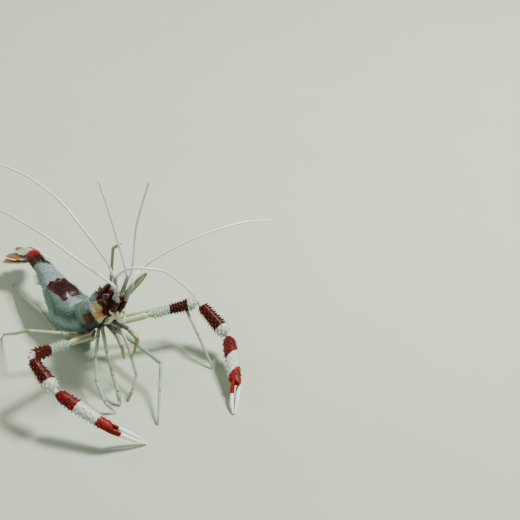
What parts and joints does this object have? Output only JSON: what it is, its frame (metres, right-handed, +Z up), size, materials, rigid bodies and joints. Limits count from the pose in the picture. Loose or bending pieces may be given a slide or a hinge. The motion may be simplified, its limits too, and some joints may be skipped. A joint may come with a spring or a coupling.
{
  "type": "banded coral shrimp",
  "caption": "Life-size still model of an egg-carrying banded coral shrimp, claws spread wide and head raised, with long white feelers.",
  "frame": {"origin": "middle of the model seen from above, on the floor it stands on", "axes": "+Z up, -Y the way the head points, +X to the animal's own left"},
  "size_m": [0.0672, 0.0892, 0.0571],
  "materials": {
    "carapace": "shell that is see-through grey green behind and dark spiny red in front",
    "abdomen": "glassy shell, grey green sides with white and dark red bands",
    "tail": "white and red plates with orange brown tips",
    "egg": "wet, blue green",
    "eye": "wet, nearly black",
    "scale": "see-through with a brown edge",
    "claw_armour": "white with dark red bands, spiny",
    "claw_white": "white, glassy",
    "slender_leg": "see-through white with brown joints",
    "feeler": "white"
  },
  "bodies": {
    "root": {"abdomen_1": "abdomen", "abdomen_2": "abdomen", "abdomen_3": "abdomen", "abdomen_4": "abdomen", "abdomen_5": "abdomen", "abdomen_6": "abdomen", "antenna_feeler_left": "feeler", "antenna_feeler_right_far": "feeler", "antenna_feeler_right_near": "feeler", "antenna_scale_left": "scale", "antenna_scale_right": "scale", "antenna_stem_left": "carapace", "antenna_stem_right": "carapace", "antennule_feeler_inner_left": "feeler", "antennule_feeler_inner_right": "feeler", "antennule_feeler_outer_left": "feeler", "antennule_feeler_outer_right_far": "feeler", "antennule_feeler_outer_right_near": "feeler", "antennule_stem_left": "carapace", "antennule_stem_right": "carapace", "carapace": "carapace", "claw_leg_left_base": "claw_white", "claw_leg_left_carpus": "claw_armour", "claw_leg_left_finger": "claw_white", "claw_leg_left_merus": "claw_armour", "claw_leg_left_palm": "claw_armour", "claw_leg_right_base": "claw_white", "claw_leg_right_carpus": "claw_armour", "claw_leg_right_finger": "claw_white", "claw_leg_right_merus": "claw_armour", "claw_leg_right_palm": "claw_armour", "egg_mass": "egg", "eye_left": "eye", "eye_right": "eye", "eyestalk_left": "carapace", "eyestalk_right": "carapace", "jaw_leg_left": "slender_leg", "jaw_leg_right": "slender_leg", "leg_1_left_lower": "slender_leg", "leg_1_left_upper": "slender_leg", "leg_1_right_lower": "slender_leg", "leg_1_right_upper": "slender_leg", "leg_2_left_lower": "slender_leg", "leg_2_left_upper": "slender_leg", "leg_2_right_lower": "slender_leg", "leg_2_right_upper": "slender_leg", "leg_4_left_lower": "slender_leg", "leg_4_left_upper": "slender_leg", "leg_4_right_lower": "slender_leg", "leg_4_right_upper": "slender_leg", "leg_5_left_lower": "slender_leg", "leg_5_left_upper": "slender_leg", "leg_5_right_lower": "slender_leg", "leg_5_right_upper": "slender_leg", "tail_fan_inner_left": "tail", "tail_fan_inner_right": "tail", "tail_fan_outer_left": "tail", "tail_fan_outer_right": "tail", "telson": "tail", "thorax_underside": "carapace"}
  },
  "joints": []
}
